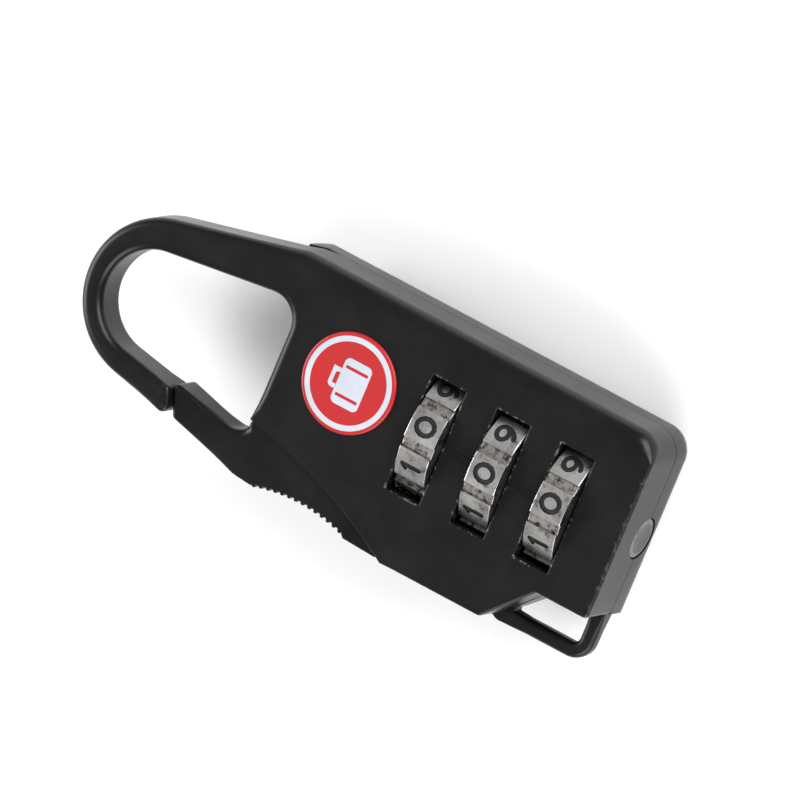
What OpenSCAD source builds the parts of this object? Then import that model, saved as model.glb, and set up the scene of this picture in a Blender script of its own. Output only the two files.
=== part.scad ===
// Luggage combination padlock with a carabiner hook.
// X runs along the lock towards its reset button, Y towards the spine, Z up through the front face.
// The lock lies on its back. Working coordinates start below the middle dial's axis, and
// place() moves every piece so that the origin is the middle of the whole lock's base.

/* [Body] */
// Thickness of the two shells together
body_t = 11.8; // [11:0.1:13]
// Middle dial to the bottom end wall
end_x = 16.05; // [15.5:0.05:18]
// Dial axis to the spine side
spine_y = 11.65; // [11.4:0.05:13]
// Dial axis to the gate side
edge_y = 14; // [13.8:0.05:15]
// Thickness of the side walls
wall = 1; // [0.8:0.05:1.1]
// Thickness of the front and back plates
plate = 1.3; // [1:0.05:1.4]
// Corner radius between spine and bottom end
corner_r = 3.1; // [2:0.1:4]
// Rounding along the back edges
back_r = 3.9; // [3:0.1:4]
// Rounding along the front spine edge
front_r = 1.7; // [0.8:0.1:2]

/* [Hook] */
// Thickness of the hook and of the gate's outer face down to its underside
hook_t = 5.2; // [4.5:0.1:5.4]
// Outer radius of the hook's far end
hook_r = 9; // [8.8:0.1:9.2]
// Inner radius of the opening's far end
eye_r = 5.75; // [5.5:0.05:5.9]
// Wall of the opening on the body side
neck_x = -26.85; // [-27.2:0.05:-26.5]

/* [Dials] */
// Distance from dial to dial
dial_pitch = 8; // [7.9:0.05:8.1]
// Outer radius over the digit pads
dial_r = 7.5; // [7.3:0.05:7.6]
// Width of a dial
dial_w = 3.7; // [3.5:0.05:3.8]
// Depth of the bands between the digit pads
band_d = 0.3; // [0.2:0.05:0.4]
// Width of the bands between the digit pads
band_w = 1.05; // [0.8:0.05:1.3]
// Width of a dial window along the lock
window_w = 4.15; // [4.1:0.05:4.3]
// Length of a dial window across the lock
window_l = 13.1; // [12.5:0.1:13.4]

/* [Gate] */
// Radius of the hinge pin
pin_r = 0.75; // [0.6:0.05:0.8]
// How far the gate's face lies below the front face
gate_step = 0.8; // [0.8:0.05:1]
// Gap between the gate and the hook's nose
nose_gap = 0.2; // [0.15:0.05:0.3]
// Number of ribs on the thumb rest
ribs = 14; // [10:1:16]

/* [Reset] */
// Radius of the reset button
button_r = 2.3; // [2:0.05:2.4]
// Radius of the spindle
spindle_r = 1.5; // [1.3:0.05:1.5]

/* [Lanyard loop] */
// Width of the loop's bar seen from the front
loop_w = 1.7; // [1.4:0.1:1.9]
// Height of the loop's bar
loop_h = 1.9; // [1.5:0.1:1.9]

/* [Badge] */
// Radius of the badge
badge_r = 5.4; // [4.5:0.1:6]
// Thickness of the badge
badge_t = 0.3; // [0.2:0.05:0.5]

/* [Hidden] */
$fn = 48;

// Middles of the hook's far end, of the opening's far end, of the hinge pin and of the badge.
hook_c = [-41.2, -0.7];
eye_c = [-41.95, -1.2];
pivot = [-6, -11.5];
badge_c = [-18.2, 1.5];

// Heights above the table, and the place of the origin.
axis_z = dial_r;
face_z = axis_z + body_t / 2;
back_z = axis_z - body_t / 2;
roof_z = face_z - plate;
floor_z = back_z + plate;
gate_z = face_z - gate_step;
gate_bottom = face_z - hook_t;
hook_x = hook_c.x - hook_r;
loop_y = -15;
origin_x = -(end_x + hook_x) / 2;
origin_y = -(spine_y + loop_y) / 2;

// Two straight sides of the hook leave its round end as tangents.
arm_a = 103.5;
limb_a = 259;
arm_in_a = 97.9;
limb_in_a = 259.5;
notch = [[end_x + 1, -8.9], [9.7, -8.9], [4.9, -edge_y], [4.9, -edge_y - 2], [end_x + 1, -edge_y - 2]];
seam_c = [-35.9, -61.9];
seam_r = 55.7;
nose_in = [-37.35, -6];
nose_out = [-35.05, -12];
thumb_c = [-18.6, -31.65];
thumb_r = 19.25;
dial_x = [-dial_pitch, 0, dial_pitch];
// How far each dial's digits stand turned from its keyways, in degrees.
dial_turn = [-12, -1.6, -5.4];
screw_at = [[-21.5, 7], [11.7, 6.9], [11.7, -6], [-14.3, -5.1]];
far = 60;

// Locking parts: the bar slides along Y, and its fingers stand left of the dials.
bar_y = -10.5;
bar_w = 1.2;
bar_x0 = -11.1;
bar_bottom = axis_z - 1.5;
finger_x = -2.8;
finger_w = 0.8;
finger_h = 1.6;
flange_r = 4.6;
flange_w = 1;
sleeve_r = 2.9;
sleeve_x = -3.3;
sleeve_l = 7.9;
key_w = 0.7;
key_r = 3.35;
clip_x = -11.95;
clip_w = 0.5;
clip_r = 2.5;
bearing_x = -17.8;
bearing_w = 1.2;
spring_seat_y = -5.9;
coil_gap = 0.03;

function polar(c, r, a) = c + r * [cos(a), sin(a)];
function arc(c, r, a0, a1, n = 16) = [for (i = [0:n]) polar(c, r, a0 + (a1 - a0) * i / n)];

module place() {
    translate([origin_x, origin_y, 0]) children();
}

// Draws a flat shape between two heights.
module slab(z0, z1) {
    translate([0, 0, z0]) linear_extrude(z1 - z0) children();
}

// A solid cylinder along X on the dial axis.
module shaft(x0, x1, r) {
    translate([x0, 0, axis_z]) rotate([0, 90, 0]) cylinder(h = x1 - x0, r = r);
}

// ---------- outlines seen from the front ----------

// Body and hook together, moved inwards by g on the straight sides of the body.
module body_plan(g = 0) {
    difference() {
        polygon(concat(
            [[end_x - g, -edge_y + g]],
            arc([end_x - corner_r, spine_y - corner_r], corner_r - g, 0, 90, 12),
            [[-28.4, spine_y - g]],
            arc(hook_c, hook_r, arm_a, limb_a, 32),
            [[-35, -11.15], [-26.7, -13.2], [-24.2, -edge_y + g]]));
        if (g == 0) polygon(notch);
        if (g > 0) polygon([for (p = notch) p + [-0.45 * g, g]]);
    }
}

// The opening of the hook, with the gate shut.
module eye_plan() {
    fillet = 2.9;
    polygon(concat(
        arc(eye_c, eye_r, limb_in_a, arm_in_a, 24),
        arc([neck_x - fillet, 3.32], fillet, arm_in_a, 0, 10),
        [[neck_x, -9.5], [-37, -7.95]]));
}

// Everything on the gate's side of the seam.
module gate_side(margin = 0) {
    intersection() {
        translate(seam_c) circle(r = seam_r + margin, $fn = 180);
        polygon([nose_in, nose_out, [-35, -far], [0, -far], [0, -5], [-26, -5]]);
    }
}

// Cross-section of the closed body, with rounded back edges and a rounded front spine edge.
module side_section(g = 0) {
    rb = back_r - g;
    rf = max(front_r - g, 0.2);
    polygon(concat(
        arc([spine_y - g - rb, back_z + g + rb], rb, -90, 0, 10),
        arc([spine_y - g - rf, face_z - g - rf], rf, 0, 90, 8),
        [[-far, face_z - g], [-far, back_z + g + rb]],
        [[loop_y - 2, back_z + g + rb]],
        arc([-edge_y + g + rb, back_z + g + rb], rb, 180, 270, 10)));
}

// Lengthwise section of the closed body, with a rounded bottom end and a ramp behind the hook.
module long_section(g = 0) {
    rb = back_r - g;
    ramp = body_t / 2 - g;
    ramp_x = neck_x + 2.25 + g;
    polygon(concat(
        arc([end_x - g - rb, back_z + g + rb], rb, -90, 0, 10),
        [[end_x - g, face_z - g], [-far, face_z - g], [-far, axis_z + 0.2]],
        [[ramp_x - ramp, axis_z + 0.2]],
        arc([ramp_x, axis_z], ramp, 180, 270, 12)));
}

// Rounds a block with the two sections.
module rounded(g = 0) {
    intersection() {
        children();
        translate([-far, 0, 0]) rotate([90, 0, 90]) linear_extrude(2 * far) side_section(g);
        translate([0, far, 0]) rotate([90, 0, 0]) linear_extrude(2 * far) long_section(g);
    }
}

// ---------- shells ----------

module windows() {
    for (x = dial_x)
        translate([x - window_w / 2, -window_l / 2, -1]) cube([window_w, window_l, 20]);
}

// Space inside the body, within the walls.
module cavity_plan() {
    difference() {
        body_plan(wall);
        translate([-far + neck_x + 1.3, -far]) square([far, 2 * far]);
    }
}

// Half of the spindle's bearing and the hole of the button.
module spindle_holes() {
    shaft(-20, -15, spindle_r - 0.25);
    shaft(end_x - 3, end_x + 1, button_r + 0.08);
}

module bearing_block(z0, z1) {
    translate([bearing_x, -3, z0]) cube([bearing_w, 6, z1 - z0]);
}

module front_shell() {
    color("#2b2b2d") place() difference() {
        union() {
            difference() {
                rounded() slab(axis_z, face_z) body_plan();
                // hollow body
                slab(axis_z - 1, roof_z) difference() {
                    cavity_plan();
                    for (p = screw_at) translate(p) circle(r = 1.3);
                }
                // the hook is thinner than the body
                slab(axis_z - 1, gate_bottom) translate([-far, -far]) square([far + neck_x, 2 * far]);
                // the gate turns in under the thin rim of the plate
                slab(axis_z - 1, gate_z + 0.05) gate_travel_plan();
            }
            bearing_block(axis_z, roof_z + 0.1);
            // post that keeps the locking bar down
            translate([1.6, -10.4, axis_z + 0.45]) cube([1.4, 2.2, roof_z - axis_z]);
        }
        slab(0, face_z + 1) eye_plan();
        slab(0, face_z + 1) gate_side();
        windows();
        spindle_holes();
        // shallow index grooves between the windows
        for (x = [-1, 0])
            translate([x * dial_pitch + window_w / 2, 0, face_z + 0.4]) rotate([0, 90, 0])
                cylinder(h = dial_pitch - window_w, r = 0.6);
        translate([pivot.x, pivot.y, axis_z]) cylinder(h = face_z - 0.4 - axis_z, r = pin_r + 0.01);
        for (p = screw_at) translate([p.x, p.y, axis_z - 1]) cylinder(h = 3.2, r = 0.71);
    }
}

// Ground that the gate covers on its way in, with a little room.
module gate_travel_plan() {
    polygon([[-28, -0.4], [-25, -0.9], [-8, -9.4], [-7.9, -edge_y - 1], [-28, -edge_y - 1]]);
}

module back_shell() {
    color("#29292b") place() difference() {
        union() {
            difference() {
                rounded() slab(back_z, axis_z) difference() {
                    body_plan();
                    // thumb room behind the gate
                    polygon([[-far, -far], [-far, 3], [neck_x, 3], [neck_x, -9.6], [-24, -11.2],
                             [-12, -11.6], [-8.2, -edge_y], [-8.2, -far]]);
                }
                rounded(wall) slab(floor_z, axis_z + 1) difference() {
                    cavity_plan();
                    polygon([[-far, -far], [-far, 0], [-25.6, -8.7], [-24, -10], [-12, -10.4],
                             [-7.6, -edge_y + 1], [-7.6, -far]]);
                    for (p = screw_at) translate(p) circle(r = 1.3);
                }
            }
            bearing_block(floor_z - 0.1, axis_z);
            // ledge and cheeks that guide the locking bar
            slab(floor_z - 0.1, axis_z - 1.55) translate([-12.2, -11.4]) square([18.8, 3.5]);
            slab(floor_z - 0.1, axis_z) translate([-12.2, -11.2]) square([1, 3.2]);
            slab(floor_z - 0.1, axis_z) translate([5.75, -11.2]) square([0.85, 3.2]);
            // seat of the gate's return spring
            slab(floor_z - 0.1, axis_z + 0.5) translate([-5.75, spring_seat_y]) square([1.6, 0.8]);
            translate([pivot.x, pivot.y, floor_z - 0.1]) cylinder(h = 3, r = 1.45);
            lanyard_loop();
        }
        slab(-1, axis_z + 1) eye_plan();
        windows();
        spindle_holes();
        translate([pivot.x, pivot.y, floor_z + 0.4]) cylinder(h = 10, r = pin_r + 0.01);
        for (p = screw_at) translate([p.x, p.y, 0]) {
            cylinder(h = back_z + 0.9, r = 1.35);
            cylinder(h = axis_z + 1, r = 0.8);
        }
    }
}

// Bar that runs from the gate-side corner around to the bottom end wall.
module lanyard_loop() {
    right = end_x - 0.5;
    r = 2.4;
    inner_r = 0.5;
    slab(axis_z - 0.1 - loop_h, axis_z - 0.1) difference() {
        polygon(concat(
            [[right, -8.2]],
            arc([right - r, loop_y + r], r, 0, -90, 10),
            [[4.6, loop_y], [2, -edge_y + 0.3], [2, -edge_y + 0.9], [4.5, -edge_y + 0.9], [9.2, -8.2]]));
        polygon(concat(
            [[right - loop_w, -8.9]],
            arc([right - loop_w - inner_r, loop_y + loop_w + inner_r], inner_r, 0, -90, 6),
            [[6.1, loop_y + loop_w], [6.1, -12.9], [9.7, -8.9]]));
    }
}

// ---------- gate ----------

// The part of the gate that shows, plus a strip that stays hidden under the front plate.
module gate_plan() {
    gap_x = nose_gap / 4;
    intersection() {
        gate_side(0.6);
        difference() {
            polygon(concat(
                [[-36.72 + gap_x, -7.1], [-36.3, -7.6]],
                arc([neck_x - 2.05, -6.94], 2, 259, 360, 8),
                [[neck_x - 0.05, -5.9], [-8.9, -10.9], [-8.2, -edge_y], [-12.6, -13.75]],
                [[-13, -13.3], [-24.2, -13.4], [-26.7, -13.2]],
                [[-35.35 + gap_x, -10.9], [-36.1 + gap_x, -9.1]]));
            translate(thumb_c) circle(r = thumb_r, $fn = 180);
        }
    }
}

module gate() {
    rib_r = 0.24;
    rib_a = 106.2;
    rib_sweep = 32.4;
    top = roof_z - 0.1;
    nose_arm = 4.5;
    color("#2e2e30") place() difference() {
        union() {
            slab(gate_bottom, gate_z) gate_plan();
            for (i = [0:ribs - 1])
                translate(polar(thumb_c, thumb_r - 0.05, rib_a - rib_sweep * i / (ribs - 1)))
                    translate([0, 0, gate_bottom]) cylinder(h = gate_z - gate_bottom, r = rib_r, $fn = 16);
            // knuckle around the hinge pin, with the web that joins it to the gate
            translate([pivot.x, pivot.y, gate_bottom]) cylinder(h = top - gate_bottom, r = 1.4);
            slab(gate_bottom, top)
                polygon([[-10.2, -12.7], [-8.3, -12.9], [pivot.x, -12.6], [pivot.x, -10.4], [-9.6, -11]]);
            // nose that pushes the locking bar
            translate([pivot.x - nose_arm, -11.2, gate_bottom]) cylinder(h = top - gate_bottom, r = 0.6);
            slab(gate_bottom, top)
                polygon([[-11.1, -11.2], [-9.9, -11.2], [-9.6, -12.6], [-11.1, -12.6]]);
        }
        translate([pivot.x, pivot.y, 0]) cylinder(h = 20, r = pin_r + 0.05);
    }
}

module gate_pin() {
    color("silver") place()
        translate([pivot.x, pivot.y, floor_z + 0.4]) cylinder(h = face_z - 0.4 - floor_z - 0.4, r = pin_r);
}

// ---------- locking ----------

module locking_bar() {
    bar_h = 1.9;
    pad_h = 4.5;
    length = dial_x[2] + finger_x + finger_w / 2 + 0.05 - bar_x0;
    color("goldenrod") place() {
        translate([bar_x0, bar_y, bar_bottom]) cube([length, bar_w, bar_h]);
        // pad that the gate's nose pushes
        translate([bar_x0, bar_y, bar_bottom]) cube([bar_w, bar_w, pad_h]);
        for (x = dial_x)
            translate([x + finger_x - finger_w / 2, bar_y, axis_z - finger_h / 2])
                cube([finger_w, -flange_r - 0.2 - bar_y, finger_h]);
    }
}

// Round wire coil along +Z from z = 0 to z = h.
module coil(r, wire, turns, h) {
    sides = 8;
    steps = 16 * turns;
    function ring(i) = [for (k = [0:sides - 1])
        let (a = 360 * i / 16, b = 360 * k / sides, q = r + wire / 2 * cos(b))
        [q * cos(a), q * sin(a), wire / 2 + (h - wire) * i / steps + wire / 2 * sin(b)]];
    points = [for (i = [0:steps]) each ring(i)];
    walls = [for (i = [0:steps - 1]) for (k = [0:sides - 1])
        [i * sides + k, (i + 1) * sides + k, (i + 1) * sides + (k + 1) % sides, i * sides + (k + 1) % sides]];
    first = [for (k = [0:sides - 1]) k];
    last = [for (k = [sides - 1:-1:0]) steps * sides + k];
    polyhedron(points, concat(walls, [first, last]), convexity = 10);
}

module gate_return_spring() {
    color("lightgray") place()
        translate([-4.95, bar_y + bar_w + coil_gap, axis_z - 0.5]) rotate([-90, 0, 0])
            coil(0.68, 0.22, 5, spring_seat_y - bar_y - bar_w - 2 * coil_gap);
}

// ---------- dials ----------

// The digit pads stand turned about the axis by turn.
module dial(x, turn) {
    bore_r = 3;
    keyway_r = 3.5;
    keyway_w = 0.9;
    color("#b9b7b2") place() difference() {
        shaft(x - dial_w / 2, x + dial_w / 2, dial_r);
        // bands between the ten digit pads
        for (i = [0:9])
            translate([x, 0, axis_z]) rotate([36 * i + 18 + turn, 0, 0])
                translate([-dial_w, -band_w / 2, dial_r - band_d]) cube([2 * dial_w, band_w, 2]);
        // bore: a wide half, and a half with ten keyways for the sleeve's key
        shaft(x - dial_w, x + 0.4, keyway_r + 0.1);
        shaft(x, x + dial_w, bore_r);
        for (i = [0:9])
            translate([x, 0, axis_z]) rotate([36 * i, 0, 0]) translate([0, -keyway_w / 2, 0])
                cube([dial_w, keyway_w, keyway_r]);
    }
}

module sleeve(x) {
    left = x + sleeve_x;
    color("#c9a227") place() difference() {
        union() {
            shaft(left, left + sleeve_l, sleeve_r);
            difference() {
                shaft(left, left + flange_w, flange_r);
                // notch that lets the locking bar's finger in
                translate([left - 1, -flange_r - 1, axis_z - 1]) cube([flange_w + 2, 2.3, 2]);
            }
            // key that turns with the dial
            translate([x + 0.6, -key_w / 2, axis_z]) cube([1, key_w, key_r]);
        }
        shaft(left - 1, left + sleeve_l + 1, spindle_r + 0.05);
    }
}

module spindle() {
    journal_x = -18.9;
    shoulder_x = -15.05;
    button_x = 12.75;
    dish_r = 5.95;
    color("#8f8f8c") place() difference() {
        union() {
            shaft(journal_x, 0, spindle_r - 0.3);
            shaft(shoulder_x, button_x + 1, spindle_r);
            shaft(button_x, end_x - 0.1, button_r);
        }
        // groove of the retaining clip
        difference() {
            shaft(clip_x - 0.05, clip_x + clip_w + 0.05, 2 * spindle_r);
            shaft(clip_x - 1, clip_x + 1, spindle_r - 0.35);
        }
        // shallow dish in the button's face
        translate([end_x + dish_r - 0.3, 0, axis_z]) sphere(r = dish_r, $fn = 96);
    }
}

module retaining_clip() {
    mouth = 1.8;
    color("gray") place() difference() {
        shaft(clip_x, clip_x + clip_w, clip_r);
        shaft(clip_x - 1, clip_x + 1, spindle_r - 0.34);
        translate([clip_x - 1, -mouth / 2, axis_z]) cube([2, mouth, 2 * clip_r]);
    }
}

module reset_spring() {
    x0 = bearing_x + bearing_w + coil_gap;
    color("lightgray") place()
        translate([x0, 0, axis_z]) rotate([0, 90, 0]) coil(1.95, 0.3, 6, clip_x - coil_gap - x0);
}

// Bent leaf whose bump clicks against the edges of the digit pads.
module detent_spring(x) {
    t = 0.22;
    leaf_w = 2.4;
    tip = dial_r + 0.03;
    path = [[10.3, -2.7], [10.3, -2.1], [8, -0.5], [tip, 0], [8, 0.5], [10.3, 2.1], [10.3, 4.1]];
    back = [for (i = [6:-1:0]) path[i] + [i == 3 ? 1.5 * t : t, 0]];
    color("lightgray") place()
        translate([x - leaf_w / 2, 0, axis_z]) rotate([90, 0, 90]) linear_extrude(leaf_w)
            polygon(concat(path, back));
}

// ---------- small parts ----------

module badge() {
    color("#c62026") place()
        translate([badge_c.x, badge_c.y, face_z]) cylinder(h = badge_t, r = badge_r, $fn = 96);
}

module shell_screws() {
    color("#6f6f72") place() for (p = screw_at) translate([p.x, p.y, back_z + 0.05]) difference() {
        union() {
            cylinder(h = 0.8, r = 1.25);
            cylinder(h = axis_z + 2 - back_z, r = 0.7);
        }
        // cross slot
        for (a = [0, 90]) rotate([0, 0, a + 45]) translate([-0.8, -0.14, -0.1]) cube([1.6, 0.28, 0.5]);
    }
}

front_shell();
back_shell();
gate();
gate_pin();
gate_return_spring();
locking_bar();
dial(dial_x[0], dial_turn[0]);  // dial_1
dial(dial_x[1], dial_turn[1]);  // dial_2
dial(dial_x[2], dial_turn[2]);  // dial_3
sleeve(dial_x[0]);  // sleeve_1
sleeve(dial_x[1]);  // sleeve_2
sleeve(dial_x[2]);  // sleeve_3
spindle();
retaining_clip();
reset_spring();
detent_spring(dial_x[0]);  // detent_spring_1
detent_spring(dial_x[1]);  // detent_spring_2
detent_spring(dial_x[2]);  // detent_spring_3
badge();
shell_screws();
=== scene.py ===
"""Looks of a small combination padlock with a carabiner hook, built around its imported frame.

Lengths are in millimetres inside the outline functions and in metres in every mesh. Working
coordinates start on the middle dial's axis, at the height of the surface that the lock lies on.
"""
import math

import bmesh
import bpy
import numpy as np
from bpy.props import FloatProperty, FloatVectorProperty, IntProperty, PointerProperty
from mathutils import Matrix, Vector
from mathutils.geometry import delaunay_2d_cdt


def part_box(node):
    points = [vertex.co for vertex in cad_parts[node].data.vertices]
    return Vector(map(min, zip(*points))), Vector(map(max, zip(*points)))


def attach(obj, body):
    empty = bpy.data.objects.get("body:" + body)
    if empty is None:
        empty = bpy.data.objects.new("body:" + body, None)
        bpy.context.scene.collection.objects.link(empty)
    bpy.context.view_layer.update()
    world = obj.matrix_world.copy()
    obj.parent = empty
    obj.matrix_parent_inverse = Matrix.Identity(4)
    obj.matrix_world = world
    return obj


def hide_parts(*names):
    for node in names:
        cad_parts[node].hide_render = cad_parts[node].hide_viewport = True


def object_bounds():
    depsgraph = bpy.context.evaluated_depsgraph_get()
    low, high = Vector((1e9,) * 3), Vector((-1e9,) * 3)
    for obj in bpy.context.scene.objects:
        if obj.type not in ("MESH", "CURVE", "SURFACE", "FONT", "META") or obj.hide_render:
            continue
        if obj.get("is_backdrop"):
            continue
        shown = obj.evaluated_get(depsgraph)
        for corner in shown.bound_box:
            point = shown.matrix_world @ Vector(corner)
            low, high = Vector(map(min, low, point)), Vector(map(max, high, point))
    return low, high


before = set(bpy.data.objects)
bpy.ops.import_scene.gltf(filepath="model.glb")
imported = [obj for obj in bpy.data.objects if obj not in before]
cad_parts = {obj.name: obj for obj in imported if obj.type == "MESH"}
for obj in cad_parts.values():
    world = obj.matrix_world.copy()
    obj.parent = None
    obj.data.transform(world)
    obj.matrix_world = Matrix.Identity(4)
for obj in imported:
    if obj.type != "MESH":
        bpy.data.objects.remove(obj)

bl_info = {
    "name": "Combination Padlock",
    "version": (1, 0, 0),
    "blender": (4, 5, 0),
    "location": "View3D > Sidebar > Padlock",
    "description": "Builds a combination padlock with a carabiner hook around its packed frame",
    "category": "Mesh",
}

MM = 0.001
CAD_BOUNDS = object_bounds()


def cad_box(node):
    """Lowest and highest corner of a CAD node in millimetres, in the frame's axes."""
    low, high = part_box(node)
    return np.array(low) / MM, np.array(high) / MM


MIDDLE_LOW, MIDDLE_HIGH = cad_box("dial_2")
ORIGIN = (MIDDLE_LOW + MIDDLE_HIGH) / 2 * (1, 1, 0)


def node_box(node):
    """Lowest and highest corner of a CAD node in working coordinates."""
    low, high = cad_box(node)
    return low - ORIGIN, high - ORIGIN


FRONT_LOW, FRONT_HIGH = node_box("front_shell")
BACK_LOW = node_box("back_shell")[0]
GATE_LOW = node_box("gate")[0]
DIALS = ("dial_1", "dial_2", "dial_3")
DIAL_X = [float(sum(node_box(name))[0]) / 2 for name in DIALS]
DIAL_WIDTH = float(MIDDLE_HIGH[0] - MIDDLE_LOW[0])
AXIS_Z = float(MIDDLE_LOW[2] + MIDDLE_HIGH[2]) / 2
DIAL_RADIUS = 7.5
FACE_Z = float(FRONT_HIGH[2])
BACK_Z = 2 * AXIS_Z - FACE_Z
END_X = float(FRONT_HIGH[0])
SPINE_Y = float(FRONT_HIGH[1])
EDGE_Y = float(FRONT_LOW[1])
LOOP_Y = float(BACK_LOW[1])
HOOK_BOTTOM = float(GATE_LOW[2])
GATE_STEP = 0.8
GATE_FACE = FACE_Z - GATE_STEP

CORNER = 3.1
BACK_ROUND = 3.9
PLATE = 1.3
WALL = 1.0
NECK_X = -26.85
HOOK_MIDDLE, HOOK_RADIUS = (-41.2, -0.7), 9.0
EYE_MIDDLE, EYE_RADIUS = (-41.95, -1.2), 5.75
SEAM_MIDDLE, SEAM_RADIUS = (-35.9, -61.9), 55.7
THUMB_MIDDLE, THUMB_RADIUS = (-18.6, -31.65), 19.25
PIVOT = (-6.0, -11.5)
WINDOW_WIDTH, WINDOW_LENGTH, WINDOW_CORNER = 4.15, 13.1, 0.12
SCREWS = ((-21.5, 7.0), (11.7, 6.9), (11.7, -6.0), (-14.3, -5.1))
SCREW_BOSS, SCREW_HEAD, SCREW_HOLE = 1.3, 1.35, 0.8
PIN_HOLE = 0.8
SECTION_STEP = 0.003
BUTTON_BORE = 2.38
PAD_STEP = 36
DIAL_TURNS = (-12.0, -1.6, -5.4)
BADGE_MIDDLE = (-18.2, 1.5)


# ---------- flat outlines, in millimetres ----------

def arc(middle, radius, start, stop, steps=12):
    """Points on a circle between two angles in degrees."""
    return [(middle[0] + radius * math.cos(math.radians(start + (stop - start) * i / steps)),
             middle[1] + radius * math.sin(math.radians(start + (stop - start) * i / steps)))
            for i in range(steps + 1)]


def softened(points, radius, steps=4):
    """Closed outline whose corners are cut round; radius is one number or one for each corner."""
    count = len(points)
    radii = [radius] * count if isinstance(radius, (int, float)) else radius
    result = []
    for i, corner in enumerate(points):
        corner = Vector(corner)
        before = Vector(points[i - 1]) - corner
        after = Vector(points[(i + 1) % count]) - corner
        if radii[i] <= 0:
            result.append(tuple(corner))
            continue
        half = before.angle(after) / 2
        reach = min(radii[i] / math.tan(half), before.length / 2, after.length / 2)
        bisector = (before.normalized() + after.normalized()).normalized()
        middle = corner + bisector * reach / math.cos(half)
        spokes = [corner + side.normalized() * reach - middle for side in (before, after)]
        first, last = (math.degrees(math.atan2(spoke.y, spoke.x)) for spoke in spokes)
        last = first + (last - first + 180) % 360 - 180
        result += arc(middle, reach * math.tan(half), first, last, steps)
    return result


def dense(points, longest):
    """Closed outline with its long sides divided."""
    result = []
    for i, a in enumerate(points):
        b = points[(i + 1) % len(points)]
        parts = max(1, math.ceil(math.dist(a, b) / longest))
        result += [(a[0] + (b[0] - a[0]) * k / parts, a[1] + (b[1] - a[1]) * k / parts)
                   for k in range(parts)]
    return result


def rectangle(low_x, low_y, high_x, high_y, radius=0.0):
    """Counter-clockwise rectangle."""
    corners = [(low_x, low_y), (high_x, low_y), (high_x, high_y), (low_x, high_y)]
    return softened(corners, radius) if radius else corners


def hole(points):
    """The same outline the other way round, so that it bounds a hole."""
    return list(reversed(points))


def seam_y(x, margin=0.0):
    """Height of the gate's seam at a place along the lock."""
    radius = SEAM_RADIUS + margin
    return SEAM_MIDDLE[1] + math.sqrt(radius ** 2 - (x - SEAM_MIDDLE[0]) ** 2)


def front_outline():
    """Front shell and hook as seen from the front, without the gate."""
    nose = softened([(-43.0, -6.85), (-42.92, -9.53), (-35.38, -11.07), (-36.575, -8.02)],
                    [0, 0, 0.75, 0.6], 5)[1:]
    seam_x = [NECK_X + (-7.47 - NECK_X) * i / 24 for i in range(25)]
    tail = softened([(-7.47, EDGE_Y), (4.9, EDGE_Y), (9.7, -8.9), (END_X, -8.9), (END_X, 0)],
                    [0, 0.7, 0.4, 0.6, 0], 5)[1:-1]
    return dense(
        arc((END_X - CORNER, SPINE_Y - CORNER), CORNER, 0, 90, 12)
        + [(-28.4, SPINE_Y)]
        + arc(HOOK_MIDDLE, HOOK_RADIUS, 103.5, 259, 48)
        + nose[1:]
        + arc(EYE_MIDDLE, EYE_RADIUS, 259.5, 97.9, 40)
        + arc((NECK_X - 2.9, 3.32), 2.9, 97.9, 0, 14)
        + [(x, seam_y(x)) for x in seam_x]
        + tail, 1.6)


def back_outline():
    """Back shell as seen from the front, without the lanyard loop."""
    return (arc((END_X - CORNER, SPINE_Y - CORNER), CORNER, 0, 90, 12)
            + [(-28.4, SPINE_Y), (-31.5, 10.9), (-31.5, 6.0)]
            + arc((NECK_X - 2.9, 3.32), 2.9, 97.9, 0, 14)
            + [(NECK_X, -9.6), (-24, -11.2), (-12, -11.6), (-8.2, EDGE_Y)]
            + softened([(-8, EDGE_Y), (4.9, EDGE_Y), (9.7, -8.9), (END_X, -8.9), (END_X, 0)],
                       [0, 0.5, 0.4, 0.25, 0])[1:-1])


def cavity_outline(left):
    """Space between the side walls."""
    high = SPINE_Y - WALL
    corner = CORNER - WALL
    return (arc((END_X - WALL - corner, high - corner), corner, 0, 90, 8)
            + [(NECK_X + 1.3, high), (NECK_X + 1.3, left)]
            + [(-24, -10), (-12, -10.4), (-7.6, EDGE_Y + WALL)]
            + [(4.45, EDGE_Y + WALL), (9.25, -7.9), (END_X - WALL, -7.9)])


def gate_outline(ribs):
    """Gate with the ribs of its thumb rest, and the strip that slides under the front plate."""
    rib_radius, first, sweep = 0.26, 106.2, 32.4
    tip = softened([(-35.98, -9.1), (-36.7, -7.3), (-29.28, -8.88)], [0, 0.5, 0], 6)[1:-1]
    under_x = [-26.9 + (-8.55 + 26.9) * i / 20 for i in range(21)]
    top = (tip + arc((NECK_X - 2.05, -6.94), 2, 259, 355, 8)
           + [(x, seam_y(x, 0.6)) for x in under_x])
    thumb = []
    for i in range(ribs):
        angle = first - sweep * i / (ribs - 1)
        middle = arc(THUMB_MIDDLE, THUMB_RADIUS - 0.03, angle, angle, 1)[0]
        thumb += arc(middle, rib_radius, angle + 90, angle + 270, 6)
        if i < ribs - 1:
            thumb += arc(THUMB_MIDDLE, THUMB_RADIUS, angle - 1.1, angle - 1.39, 1)
    thumb.reverse()
    low = softened([(-8.3, -12.9), (-8.2, EDGE_Y + 0.05), (-12.6, -13.75), (-13.0, -13.32)],
                   [0, 0.4, 0.3, 0])[1:]
    nose = softened([(-24.3, -13.4), (-26.7, -13.2), (-35.25, -10.95), (-35.98, -9.1), (-36.7, -7.3)],
                    [0, 0.6, 0.7, 0.3, 0])[:-1]
    return hole(top + low + thumb + nose)


# ---------- meshes ----------

def at(values, points):
    """A number for each point, from one number or from a function of the point."""
    if callable(values):
        return np.array([values(x, y) for x, y in points])
    return np.full(len(points), float(values))


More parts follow.
